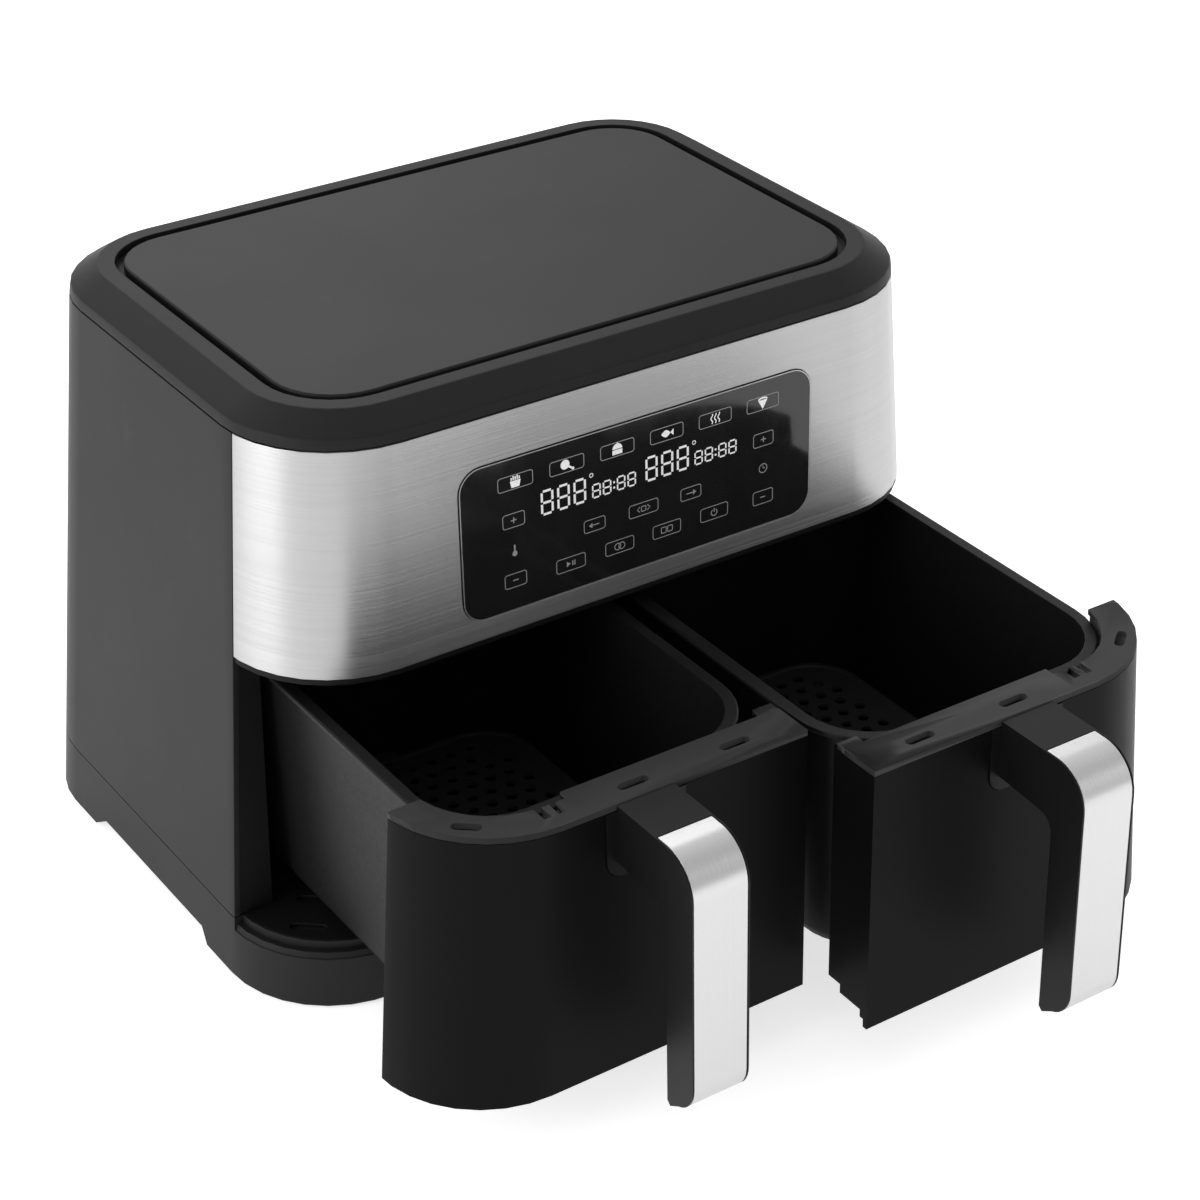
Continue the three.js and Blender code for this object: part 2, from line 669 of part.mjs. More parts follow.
// The steel strip laid over the top and front of the grip.
function steelStrip(depth, width, slack) {
  const start = 25.5 - slack;
  const outside = gripEdge(slack ? -1 : 0, start);
  const inside = gripEdge(depth, start);
  return handleSweep([...outside, ...inside.reverse()], width);
}

function handleScrew(z) {
  const head = rodY(3.6, BAY_X, z, -DEPTH / 2 + DRAWER_INSET + SKIN + GAP, -DEPTH / 2 + 6.8, 12);
  const shank = rodY(1.7, BAY_X, z, -DEPTH / 2 - 8, -DEPTH / 2 + 5, 10);
  return leaned(union(head, shank));
}

function panOutline(inset) {
  const front = frontAt(DRAWER_TOP);
  const corner = PAN_CORNER - inset;
  return roundedRectangle(
    PAN_IN + inset,
    PAN_OUT - inset,
    front + PAN_FRONT + inset,
    front + PAN_BACK - inset,
    corner,
    corner,
    8,
  );
}

// Deep drawn tray: tapered walls, a rolled bottom edge and a flat rim.
function panBody(sections) {
  return loft(sections.map(([z, inset]) => [z, panOutline(inset)]));
}

const panWall = [
  [PAN_BOTTOM, 17],
  [PAN_BOTTOM + 3, 10.5],
  [PAN_BOTTOM + 9, 7.5],
  [PAN_TOP - 2, 4],
];

function pan() {
  const rim = panBody([
    [PAN_TOP - 2.4, 0],
    [PAN_TOP - 0.6, 0],
    [PAN_TOP, 0.8],
  ]);
  const inside = panWall.map(([z, inset], i) => [z + (i < 3 ? PAN_SHEET : 4), inset + PAN_SHEET]);
  const bosses = panScrewPlaces.map((x) => {
    const near = frontAt(PAN_SCREW_Z) + 16.2;
    return rodY(6, x, PAN_SCREW_Z, near, near + 13).subtract(rodY(2, x, PAN_SCREW_Z, near - 1, near + 8, 10));
  });
  return union(panBody(panWall), rim, ...bosses).subtract(panBody(inside));
}

function panScrew(x) {
  const near = frontAt(PAN_SCREW_Z);
  const head = rodY(3.6, x, PAN_SCREW_Z, near + 10.8, near + 13.2, 12);
  const shank = rodY(1.7, x, PAN_SCREW_Z, near + 13, near + 23, 10);
  return union(head, shank);
}

const PLATE_INSET = 12;

// Perforated plate on four legs.
function crisperPlate() {
  const holes = [];
  const pitch = 25;
  for (let row = -3; row <= 3; row += 1) {
    const shift = row % 2 ? pitch / 2 : 0;
    for (let column = -2; column <= 2; column += 1) {
      const x = column * pitch + shift;
      const hole = circle(6, 6).map(([u, v]) => [BAY_X + x + u, plateMiddle + row * pitch + v]);
      if (Math.abs(x) < 52) holes.push(hole.reverse());
    }
  }
  const plate = prism(panOutline(PLATE_INSET), PLATE_Z, PLATE_Z + 2.4, holes);
  const legs = [-1, 1].flatMap((sx) =>
    [-1, 1].map((sy) =>
      rod(4, BAY_X + sx * 50, plateMiddle + sy * 76, PAN_BOTTOM + PAN_SHEET + GAP, PLATE_Z + 1, 10),
    ),
  );
  return union(plate, ...legs);
}

const plateMiddle = frontAt(DRAWER_TOP) + (PAN_FRONT + PAN_BACK) / 2;

// Silicone clip on the edge of the crisper plate.
function bumper(sx, sy) {
  const halfX = (PAN_OUT - PAN_IN) / 2 - PLATE_INSET;
  const halfY = (PAN_BACK - PAN_FRONT) / 2 - PLATE_INSET;
  const reach = 2;
  const block = sx
    ? box(halfX - 5, halfX + reach, -8, 8, PLATE_Z - 3, PLATE_Z + 5.5)
    : box(-8, 8, halfY - 5, halfY + reach, PLATE_Z - 3, PLATE_Z + 5.5);
  const groove = sx
    ? box(halfX - 9, halfX + GAP, -9, 9, PLATE_Z - GAP, PLATE_Z + 2.4 + GAP)
    : box(-9, 9, halfY - 9, halfY + GAP, PLATE_Z - GAP, PLATE_Z + 2.4 + GAP);
  const clip = block.subtract(groove);
  const turn = (sx || sy) < 0 ? Math.PI : 0;
  return moved(turned(clip, turn), BAY_X, plateMiddle, 0);
}

// ---- Assembly ----

const paints = {
  body: { color: 0x4b4b4c, roughness: 0.6, metalness: 0 },
  lid: { color: 0x505051, roughness: 0.6, metalness: 0 },
  black: { color: 0x262626, roughness: 0.55, metalness: 0 },
  frame: { color: 0x1c1c1c, roughness: 0.6, metalness: 0 },
  steel: { color: 0xc9c9c9, roughness: 0.3, metalness: 1 },
  glass: { color: 0x141414, roughness: 0.1, metalness: 0 },
  pan: { color: 0x2a2a2b, roughness: 0.5, metalness: 0.2 },
  rubber: { color: 0x1a1a1a, roughness: 0.9, metalness: 0 },
  sheet: { color: 0x9a9a9a, roughness: 0.4, metalness: 1 },
  board: { color: 0x1f5a34, roughness: 0.6, metalness: 0 },
};

// The solid as a mesh that carries its node name and finish.
function piece(name, body, paint) {
  const { vertProperties, triVerts } = body.getMesh();
  const geometry = new THREE.BufferGeometry();
  geometry.setAttribute("position", new THREE.BufferAttribute(vertProperties, 3));
  geometry.setIndex(new THREE.BufferAttribute(triVerts, 1));
  const faceted = geometry.toNonIndexed();
  faceted.computeVertexNormals();
  const mesh = new THREE.Mesh(faceted, new THREE.MeshStandardMaterial(paints[paint]));
  mesh.name = name;
  return mesh;
}

function housing() {
  const group = new THREE.Group();
  group.add(
    piece("base_tray", baseTray(), "body"),
    piece("bay_floor", bayFloor(), "frame"),
    piece("outer_shell", outerShell(), "body"),
    piece("rear_grille", rearGrille(), "black"),
    piece("cord_inlet", cordInlet(), "black"),
    piece("front_frame", frontFrame(), "frame"),
    piece("front_band", frontBand(), "steel"),
    piece("control_panel", controlPanel(), "glass"),
    piece("display_board", displayBoard(), "board"),
    piece("top_cover", topCover(), "body"),
    piece("top_panel", topPanel(), "lid"),
    piece("power_board", powerBoard(), "board"),
  );
  const names = ["front_left", "front_right", "back_left", "back_right"];
  names.forEach((name, i) => {
    const foot = piece("foot_" + name, rubberFoot(), "rubber");
    foot.position.set(...footPlaces[i], 0);
    group.add(foot);
  });
  return group;
}

// One side's fixed cooking parts and its fan wheel.
function chamber(side, hand) {
  const group = new THREE.Group();
  group.add(
    piece(side + "_bay_liner", hand(bayLiner()), "sheet"),
    piece(side + "_heater", hand(heater()), "sheet"),
    piece(side + "_heater_guard", hand(heaterGuard()), "sheet"),
    piece(side + "_fan_motor", hand(fanMotor()), "sheet"),
    piece(side + "_fan_wheel", hand(moved(fanWheel(), BAY_X, DOME_Y, 0)), "sheet"),
  );
  return group;
}

// One drawer with its pan, handle and crisper plate, pulled out by `open`.
function drawer(side, hand, open) {
  const group = new THREE.Group();
  group.add(
    piece(side + "_drawer_front", hand(drawerFront()), "black"),
    piece(side + "_drawer_frame", hand(drawerFrame()), "black"),
    piece(side + "_handle", hand(handle()), "black"),
    piece(side + "_handle_trim", hand(steelStrip(STEEL, STEEL_WIDTH, 0)), "steel"),
    piece(side + "_pan", hand(pan()), "pan"),
    piece(side + "_crisper_plate", hand(crisperPlate()), "pan"),
  );
  handleScrewHeights.forEach((z, i) => {
    group.add(piece(side + "_handle_screw_" + (i + 1), hand(handleScrew(z)), "sheet"));
  });
  panScrewPlaces.forEach((x, i) => {
    group.add(piece(side + "_pan_screw_" + (i + 1), hand(panScrew(x)), "sheet"));
  });
  const edges = { inner: [-1, 0], outer: [1, 0], front: [0, -1], back: [0, 1] };
  Object.entries(edges).forEach(([edge, [sx, sy]]) => {
    group.add(piece(side + "_bumper_" + edge, hand(bumper(sx, sy)), "rubber"));
  });
  group.position.y = -open;
  return group;
}

const sameHand = (body) => body;
const fryer = new THREE.Group();
fryer.add(
  housing(),
  chamber("left", mirrored),
  chamber("right", sameHand),
  drawer("left", mirrored, LEFT_OPEN),
  drawer("right", sameHand, RIGHT_OPEN),
);

// The origin is the middle of the footprint, drawers and handles included, at the level of the feet.
const extent = new THREE.Box3().setFromObject(fryer);
const middle = extent.getCenter(new THREE.Vector3());
fryer.position.set(-middle.x, -middle.y, -extent.min.z);

export default fryer;
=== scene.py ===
"""Blender looks for the dual-basket air fryer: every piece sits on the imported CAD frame."""

import math

import bmesh
import bpy
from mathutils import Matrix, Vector
from mathutils.geometry import delaunay_2d_cdt


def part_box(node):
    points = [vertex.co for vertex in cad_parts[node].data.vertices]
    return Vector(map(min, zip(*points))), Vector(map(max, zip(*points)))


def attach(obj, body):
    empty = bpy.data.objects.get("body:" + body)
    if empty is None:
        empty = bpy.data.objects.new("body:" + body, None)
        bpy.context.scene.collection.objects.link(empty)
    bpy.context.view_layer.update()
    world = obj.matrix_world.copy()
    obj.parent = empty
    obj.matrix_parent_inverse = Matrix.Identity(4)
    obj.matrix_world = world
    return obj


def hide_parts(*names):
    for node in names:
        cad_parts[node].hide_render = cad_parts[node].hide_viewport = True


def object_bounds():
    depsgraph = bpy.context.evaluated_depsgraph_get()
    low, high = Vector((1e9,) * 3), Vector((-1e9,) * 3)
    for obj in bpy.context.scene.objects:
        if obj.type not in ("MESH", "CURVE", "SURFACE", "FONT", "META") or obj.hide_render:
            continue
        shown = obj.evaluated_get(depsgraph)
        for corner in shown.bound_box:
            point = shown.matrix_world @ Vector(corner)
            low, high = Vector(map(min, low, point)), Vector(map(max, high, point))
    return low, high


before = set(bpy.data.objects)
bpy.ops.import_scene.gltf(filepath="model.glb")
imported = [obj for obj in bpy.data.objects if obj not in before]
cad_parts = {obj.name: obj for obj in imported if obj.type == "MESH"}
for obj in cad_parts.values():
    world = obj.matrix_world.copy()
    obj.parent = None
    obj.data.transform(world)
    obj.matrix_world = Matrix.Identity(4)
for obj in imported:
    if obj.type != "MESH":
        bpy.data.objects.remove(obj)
CAD_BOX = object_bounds()

MM = 0.001
FRONT_LEAN = 0.034  # the front leans back by this much per unit of height
SIDES = ("left", "right")


# ---- Node helpers ----


class Nodes:
    """Short calls for building one material's node tree."""

    def __init__(self, name):
        self.material = bpy.data.materials.new(name)
        self.material.use_nodes = True
        self.tree = self.material.node_tree
        self.shader = self.tree.nodes["Principled BSDF"]
        self.coordinates = self.tree.nodes.new("ShaderNodeTexCoord").outputs["Object"]

    def add(self, kind, inputs=None, **settings):
        node = self.tree.nodes.new(kind)
        for key, value in settings.items():
            setattr(node, key, value)
        for key, value in (inputs or {}).items():
            self.feed(node.inputs[key], value)
        return node

    def feed(self, socket, value):
        if isinstance(value, bpy.types.NodeSocket):
            self.tree.links.new(value, socket)
        else:
            socket.default_value = value

    def set(self, **values):
        """Sets or links sockets of the Principled shader; underscores stand for spaces."""
        for key, value in values.items():
            self.feed(self.shader.inputs[key.replace("_", " ")], value)

    def stretched(self, scale):
        """Object coordinates with their own scale along each axis."""
        return self.add("ShaderNodeMapping", {"Vector": self.coordinates, "Scale": scale}).outputs["Vector"]

    def noise(self, scale, detail=3.0, roughness=0.5, vector=None):
        inputs = {"Vector": vector or self.coordinates, "Scale": scale}
        inputs |= {"Detail": detail, "Roughness": roughness}
        return self.add("ShaderNodeTexNoise", inputs).outputs["Fac"]

    def ramp(self, value, low, high, out_low=0.0, out_high=1.0):
        inputs = {"Value": value, "From Min": low, "From Max": high, "To Min": out_low, "To Max": out_high}
        return self.add("ShaderNodeMapRange", inputs).outputs["Result"]

    def mix(self, factor, first, second):
        node = self.add("ShaderNodeMix", data_type="RGBA")
        self.feed(node.inputs["Factor"], factor)
        self.feed(node.inputs["A"], first)
        self.feed(node.inputs["B"], second)
        return node.outputs["Result"]

    def math(self, operation, first, second):
        return self.add("ShaderNodeMath", {0: first, 1: second}, operation=operation).outputs["Value"]

    def bump(self, height, distance, strength=1.0, below=None):
        inputs = {"Height": height, "Distance": distance, "Strength": strength}
        node = self.add("ShaderNodeBump", inputs)
        if below:
            self.feed(node.inputs["Normal"], below)
        return node.outputs["Normal"]


def grey(value, blue=0.0):
    """A grey as linear colour, with a little more blue if asked."""
    return (value, value, value + blue, 1.0)


# ---- Materials ----


def moulded_plastic(name, shade, roughness, specular, grain=0.00003, scale=1500.0):
    """Spark-eroded plastic: an even fine grain, slow roughness changes and faint rub marks."""
    n = Nodes(name)
    cloud = n.noise(14.0, 4.0, 0.6)
    fine = n.noise(scale, 2.0, 0.6)
    marks = n.noise(60.0, 6.0, 0.7, n.stretched((1.0, 0.6, 0.35)))
    colour = n.mix(n.ramp(cloud, 0.3, 0.7), grey(shade * 0.93), grey(shade * 1.06, shade * 0.01))
    colour = n.mix(n.ramp(fine, 0.45, 0.75, 0.0, 0.3), colour, grey(shade * 1.35))
    worn = n.ramp(marks, 0.62, 0.8, 0.0, -0.08)
    rough = n.math("ADD", n.ramp(cloud, 0.3, 0.7, roughness - 0.02, roughness + 0.02), worn)
    n.set(Base_Color=colour, Roughness=rough, Specular_IOR_Level=specular)
    n.set(Normal=n.bump(fine, grain, 0.8))
    return n.material


def brushed_steel(name, scale, shade, roughness, contrast, axis="Z"):
    """Brushed sheet: long fine scratches across the direction that `scale` packs tightest.

    `axis` is the one that the sheet bends round, and the highlights stretch along it.
    """
    n = Nodes(name)
    lines = n.noise(1.0, 4.0, 0.75, n.stretched(scale))
    broad = n.noise(1.0, 2.0, 0.5, n.stretched(tuple(s * 0.3 for s in scale)))
    haze = n.noise(9.0, 3.0, 0.5)
    tone = n.math("ADD", n.ramp(lines, 0.3, 0.7, -0.5, 0.5), n.ramp(broad, 0.3, 0.7, -0.2, 0.2))
    colour = n.mix(n.ramp(tone, -0.7, 0.7), grey(shade * (1.0 - contrast)), grey(shade * (1.0 + contrast)))
    streaked = n.ramp(lines, 0.25, 0.75, roughness - 0.04, roughness + 0.05)
    rough = n.math("ADD", streaked, n.ramp(haze, 0.4, 0.7, 0.0, 0.04))
    n.set(Base_Color=colour, Metallic=1.0, Roughness=rough, Anisotropic=0.75)
    n.set(Anisotropic_Rotation=0.25)
    n.set(Normal=n.bump(tone, 0.00005, 0.8))
    tangent = n.add("ShaderNodeTangent", direction_type="RADIAL", axis=axis)
    n.set(Tangent=tangent.outputs["Tangent"])
    return n.material


def gloss_panel():
    """Black touch glass with the haze of fingertips."""
    n = Nodes("gloss_panel")
    smear = n.noise(45.0, 5.0, 0.65, n.stretched((1.0, 1.0, 0.6)))
    dust = n.noise(2600.0, 1.0, 0.5)
    rough = n.math("ADD", n.ramp(smear, 0.4, 0.75, 0.05, 0.16), n.ramp(dust, 0.7, 0.85, 0.0, 0.2))
    n.set(Base_Color=n.mix(n.ramp(smear, 0.3, 0.8), grey(0.01), grey(0.015)), Roughness=rough)
    n.set(Specular_IOR_Level=0.35, Coat_Weight=0.3, Coat_Roughness=0.05)
    return n.material


def printed_ink(name, shade):
    """Pale print lit faintly from behind, a little worn."""
    n = Nodes(name)
    wear = n.noise(900.0, 3.0, 0.6)
    colour = n.mix(n.ramp(wear, 0.35, 0.7), grey(shade), grey(shade * 0.8))
    n.set(Base_Color=colour, Roughness=n.ramp(wear, 0.3, 0.7, 0.4, 0.6))
    n.set(Emission_Color=grey(1.0), Emission_Strength=0.18 * shade)
    return n.material


def nonstick(name, shade):
    """Sprayed non-stick coat: orange-peel surface, tiny flecks and scouring marks."""
    n = Nodes(name)
    peel = n.noise(420.0, 3.0, 0.55)
    fleck = n.add("ShaderNodeTexVoronoi", {"Vector": n.coordinates, "Scale": 900.0}).outputs["Distance"]
    scour = n.noise(1.0, 4.0, 0.7, n.stretched((40.0, 260.0, 60.0)))
    colour = n.mix(n.ramp(fleck, 0.0, 0.16, 0.5, 0.0), grey(shade), grey(shade * 3.2))
    colour = n.mix(n.ramp(scour, 0.62, 0.8, 0.0, 0.25), colour, grey(shade * 2.2))
    rough = n.math("ADD", n.ramp(peel, 0.3, 0.7, 0.36, 0.46), n.ramp(scour, 0.6, 0.8, 0.0, 0.1))
    n.set(Base_Color=colour, Roughness=rough, Specular_IOR_Level=0.15)
    n.set(Normal=n.bump(peel, 0.00006, 0.5))
    return n.material


def rubber(name, shade):
    """Matt rubber with pale dust on it."""
    n = Nodes(name)
    dust = n.noise(160.0, 5.0, 0.7)
    fine = n.noise(1900.0, 2.0, 0.5)
    n.set(Base_Color=n.mix(n.ramp(dust, 0.45, 0.8), grey(shade), grey(shade * 2.0)))
    n.set(Roughness=n.ramp(dust, 0.3, 0.7, 0.68, 0.85), Specular_IOR_Level=0.2)
    n.set(Normal=n.bump(fine, 0.00003, 0.6))
    return n.material


def plain_sheet(name, shade, roughness, tint=(1.0, 1.0, 1.0)):
    """Rolled sheet or wire, with slow patches where heat has changed its colour by `tint`."""
    n = Nodes(name)
    patches = n.noise(22.0, 4.0, 0.6)
    rolled = n.noise(1.0, 3.0, 0.6, n.stretched((30.0, 30.0, 700.0)))
    cold = (shade, shade, shade, 1.0)
    warm = (shade * tint[0], shade * tint[1], shade * tint[2], 1.0)
    n.set(Base_Color=n.mix(n.ramp(patches, 0.35, 0.65), cold, warm), Metallic=1.0)
    n.set(Roughness=n.ramp(rolled, 0.3, 0.7, roughness - 0.06, roughness + 0.1))
    n.set(Normal=n.bump(rolled, 0.00002, 0.4))
    return n.material


def circuit_board():
    """Green solder mask with a grid of tracks under it."""
    n = Nodes("solder_mask")
    tracks = n.add("ShaderNodeTexBrick", {"Vector": n.coordinates, "Scale": 160.0, "Mortar Size": 0.03})
    flecks = n.noise(700.0, 2.0, 0.5)
    green = n.mix(n.ramp(flecks, 0.4, 0.7), (0.006, 0.07, 0.025, 1.0), (0.01, 0.1, 0.035, 1.0))
    n.set(Base_Color=n.mix(tracks.outputs["Fac"], green, (0.02, 0.16, 0.06, 1.0)))
    n.set(Roughness=n.ramp(flecks, 0.3, 0.7, 0.3, 0.45))
    return n.material


BODY = moulded_plastic("body_plastic", 0.0115, 0.5, 0.14)
LID = moulded_plastic("lid_plastic", 0.015, 0.46, 0.14)
BLACK = moulded_plastic("black_plastic", 0.007, 0.5, 0.1)
DRAWER = moulded_plastic("drawer_plastic", 0.003, 0.42, 0.06, 0.00002, 2200.0)
COVER = moulded_plastic("cover_plastic", 0.02, 0.45, 0.24)
GRIP = moulded_plastic("handle_plastic", 0.004, 0.4, 0.17, 0.00002, 2200.0)
BAND = brushed_steel("band_steel", (2.0, 2.0, 900.0), 0.43, 0.34, 0.08)
GRIP_STEEL = brushed_steel("handle_steel", (1700.0, 3.0, 3.0), 0.58, 0.34, 0.02, "X")
PANEL = gloss_panel()
INK = printed_ink("panel_ink", 0.85)
INK_DIM = printed_ink("panel_ink_dim", 0.26)
NONSTICK = nonstick("nonstick_coat", 0.007)
# The plates have the same non-stick coat as the pans. Its colour here is painted about four times lighter,
# as painted light that lifts the plates out of the shade inside the pans.
PLATE_COAT_PAINTED_LIGHTER = nonstick("crisper_coat_painted_light", 0.03)
FEET = rubber("foot_rubber", 0.014)
SILICONE = rubber("black_silicone", 0.02)
LINER = plain_sheet("liner_sheet", 0.42, 0.38, (1.0, 0.93, 0.82))
HEATER = plain_sheet("heater_tube", 0.16, 0.45, (1.15, 0.9, 0.75))
MOTOR = plain_sheet("motor_metal", 0.5, 0.35)
SCREW = plain_sheet("plated_screw", 0.55, 0.28)
BOARD = circuit_board()


# ---- Mesh helpers ----


SHARP_ANGLE = math.radians(32.0)  # edges that turn by less are facets of a round


def soften(node, material, width, flatten=True, harden=False):
    """Gives a carried-over CAD node its finish, eased edges and smooth rounds.

    `width` is the eased edge in millimetres. `flatten` joins coplanar triangles first. `harden` takes the
    shading from the bevel alone, which suits narrow ledges.
    """
    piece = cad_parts[node]
    piece.data.materials.clear()
    piece.data.materials.append(material)
    for polygon in piece.data.polygons:
        polygon.use_smooth = True
    weld = piece.modifiers.new("weld", "WELD")
    weld.merge_threshold = 0.01 * MM
    if flatten:
        flat = piece.modifiers.new("flat", "DECIMATE")
        flat.decimate_type = "DISSOLVE"
        flat.angle_limit = math.radians(0.6)
    if width:
        bevel = piece.modifiers.new("bevel", "BEVEL")
        bevel.limit_method = "ANGLE"
        bevel.angle_limit = SHARP_ANGLE
        bevel.width = width * MM
        bevel.segments = 2
        bevel.use_clamp_overlap = True
        bevel.miter_outer = "MITER_ARC"
        bevel.harden_normals = harden
    if not harden:
        normals = piece.modifiers.new("normals", "WEIGHTED_NORMAL")
        normals.keep_sharp = True
        normals.weight = 80


def build(name, bm, material, body, smooth=True):
    """Turns a bmesh into a piece that rides on a CAD body."""
    bmesh.ops.recalc_face_normals(bm, faces=bm.faces)
    mesh = bpy.data.meshes.new(name)
    bm.to_mesh(mesh)
    bm.free()
    for polygon in mesh.polygons:
        polygon.use_smooth = smooth
    mesh.materials.append(material)
    piece = bpy.data.objects.new(name, mesh)
    bpy.context.scene.collection.objects.link(piece)
    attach(piece, body)
    return piece


# ---- Carried-over CAD nodes ----

# Each node's material and the width in millimetres of its eased edges.
PLAIN_NODES = {
    "base_tray": (BODY, 0.5),
    "bay_floor": (BLACK, 0.4),
    "outer_shell": (BODY, 0.3),
    "top_cover": (BODY, 0.4),
    "top_panel": (LID, 0.5),
    "front_frame": (BLACK, 0.5),
    "rear_grille": (BLACK, 0.4),
    "cord_inlet": (BLACK, 0.5),
    "front_band": (BAND, 0.35),
    "control_panel": (PANEL, 0.35),
    "display_board": (BOARD, 0.2),
    "power_board": (BOARD, 0.2),
    "foot_front_left": (FEET, 0.4),
    "foot_front_right": (FEET, 0.4),
    "foot_back_left": (FEET, 0.4),
    "foot_back_right": (FEET, 0.4),
}
# The same for nodes that come once for each basket.
SIDE_NODES = {
    "bay_liner": (LINER, 0.3),
    "heater": (HEATER, 0.0),
    "heater_guard": (LINER, 0.3),
    "fan_motor": (MOTOR, 0.4),
    "fan_wheel": (MOTOR, 0.2),
    "drawer_front": (DRAWER, 0.5),
    "drawer_frame": (COVER, 0.4),
    "handle": (GRIP, 0.3),
    "handle_trim": (GRIP_STEEL, 0.35),
    "pan": (NONSTICK, 0.6),
    "handle_screw_1": (SCREW, 0.3),
    "handle_screw_2": (SCREW, 0.3),
    "pan_screw_1": (SCREW, 0.3),
    "pan_screw_2": (SCREW, 0.3),
    "bumper_inner": (SILICONE, 0.6),
    "bumper_outer": (SILICONE, 0.6),
    "bumper_front": (SILICONE, 0.6),
    "bumper_back": (SILICONE, 0.6),
}

for node, (material, width) in PLAIN_NODES.items():
    soften(node, material, width)
for side in SIDES:
    for node, (material, width) in SIDE_NODES.items():
        options = {"flatten": node != "handle", "harden": node == "drawer_frame"}
        soften(f"{side}_{node}", material, width, **options)


# ---- Control panel print ----


class Print:
    """Flat ink shapes laid on the leaning face of the control panel."""

    LIFT = 0.08 * MM

    def __init__(self, name, material):
        self.name = name
        self.material = material
        self.mesh = bmesh.new()
        low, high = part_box("control_panel")
        self.middle = (low.x + high.x) / 2
        self.low = low

    def point(self, x, z):
        """A point of the face from millimetres right of its middle and above its lower edge."""
        height = z * MM
        y = self.low.y + FRONT_LEAN * height - self.LIFT
        return Vector((self.middle + x * MM, y, self.low.z + height))

    def face(self, outline):
        """A filled shape."""
        self.mesh.faces.new([self.mesh.verts.new(self.point(x, z)) for x, z in outline])

    def stroke(self, points, width=0.5, closed=False):
        """A line of even width through the points, with mitred corners."""
        count = len(points)
        sides = []
        for i, (x, z) in enumerate(points):
            before = points[(i - 1) % count] if closed or i else points[i]
            after = points[(i + 1) % count] if closed or i < count - 1 else points[i]
            way = Vector((after[0] - before[0], after[1] - before[1])).normalized()
            across = Vector((-way.y, way.x)) * width / 2
            sides.append([(x + across.x, z + across.y), (x - across.x, z - across.y)])
        verts = [[self.mesh.verts.new(self.point(*p)) for p in pair] for pair in sides]
        last = count if closed else count - 1
        for i in range(last):
            a, b = verts[i], verts[(i + 1) % count]
            self.mesh.faces.new((a[0], a[1], b[1], b[0]))

    def done(self):
        """Turns the ink laid so far into one piece on the housing."""
        return build(self.name, self.mesh, self.material, "housing", smooth=False)


def arc_points(x, z, radius, start, end, steps=14):
    """Points along an arc round (x, z) between two angles in degrees."""
    angles = [math.radians(start + (end - start) * i / steps) for i in range(steps + 1)]
    return [(x + radius * math.cos(a), z + radius * math.sin(a)) for a in angles]


def rounded_box(x, z, width, height, radius, steps=5):
    """The outline of a rectangle centred on (x, z) with rounded corners."""
    right, top = width / 2 - radius, height / 2 - radius
    corners = [(right, top, 0), (-right, top, 90), (-right, -top, 180), (right, -top, 270)]
    outline = []
    for dx, dz, start in corners:
        outline += arc_points(x + dx, z + dz, radius, start, start + 90, steps)
    return outline


SEGMENTS = {
    "top": ((0.12, 1.0), (0.88, 1.0)),
    "middle": ((0.12, 0.5), (0.88, 0.5)),
    "bottom": ((0.12, 0.0), (0.88, 0.0)),
    "upper_left": ((0.0, 0.95), (0.0, 0.55)),
    "lower_left": ((0.0, 0.45), (0.0, 0.05)),
    "upper_right": ((1.0, 0.95), (1.0, 0.55)),
    "lower_right": ((1.0, 0.45), (1.0, 0.05)),
}


def digit(ink, x, z, width, height, weight):
    """A seven-segment figure with every segment lit, its lower left corner at (x, z)."""
    for (x0, z0), (x1, z1) in SEGMENTS.values():
        ink.stroke([(x + x0 * width, z + z0 * height), (x + x1 * width, z + z1 * height)], weight)


def readout(ink, x, z):
    """Three large figures for heat with a degree ring, then four small ones for time with a colon."""
    for i in range(3):
        digit(ink, x + i * 8.4, z, width=5.4, height=11.0, weight=1.1)
    ink.stroke(arc_points(x + 25.6, z + 11.4, 0.9, 0, 360, 10), 0.4)
    time_x, time_z = x + 26.2, z + 0.2
    for shift in (0.0, 5.6, 13.0, 18.6):
        digit(ink, time_x + shift, time_z, width=3.8, height=6.2, weight=0.75)
    for dot in (1.8, 4.4):
        ink.face(rounded_box(time_x + 11.2, time_z + dot, 1.0, 1.0, 0.3, 2))


def key(ink, x, z, width=17.5, height=6.6):
    """The thin frame round one touch key."""
    ink.stroke(rounded_box(x, z, width, height, 1.2), 0.35, closed=True)


# Each icon is centred on (x, z) and about 6 mm high.


def icon_fries(ink, x, z):
    ink.face([(x - 2.0, z - 2.6), (x + 2.0, z - 2.6), (x + 2.7, z + 0.6), (x - 2.7, z + 0.6)])
    for i, top in enumerate((2.2, 2.9, 2.5, 3.0, 2.3)):
        left = x - 2.3 + i * 1.0
        ink.face([(left, z + 0.9), (left + 0.65, z + 0.9), (left + 0.65, z + top), (left, z + top)])


def icon_drumstick(ink, x, z):
    ink.face(arc_points(x - 0.9, z + 0.5, 2.3, 0, 340, 16))
    ink.stroke([(x + 0.6, z - 0.6), (x + 3.0, z - 2.2)], 0.9)
    ink.face(arc_points(x + 3.1, z - 2.3, 0.75, 0, 330, 8))


def icon_cake(ink, x, z):
    ink.face([(x - 2.6, z - 2.4), (x + 2.6, z - 2.4), (x + 2.6, z - 0.2), (x - 2.6, z - 0.2)])
    ink.face(arc_points(x, z + 0.2, 2.6, 0, 180, 10))
    ink.stroke([(x, z + 2.6), (x, z + 3.4)], 0.5)


def icon_fish(ink, x, z):
    upper = [(x - 3.0 + 0.5 * i, z + 1.7 * math.sin(math.pi * i / 10)) for i in range(11)]
    lower = [(px, 2 * z - pz) for px, pz in reversed(upper[1:-1])]
    ink.face(upper + lower)
    ink.face([(x + 1.9, z), (x + 3.6, z + 1.6), (x + 3.6, z - 1.6)])


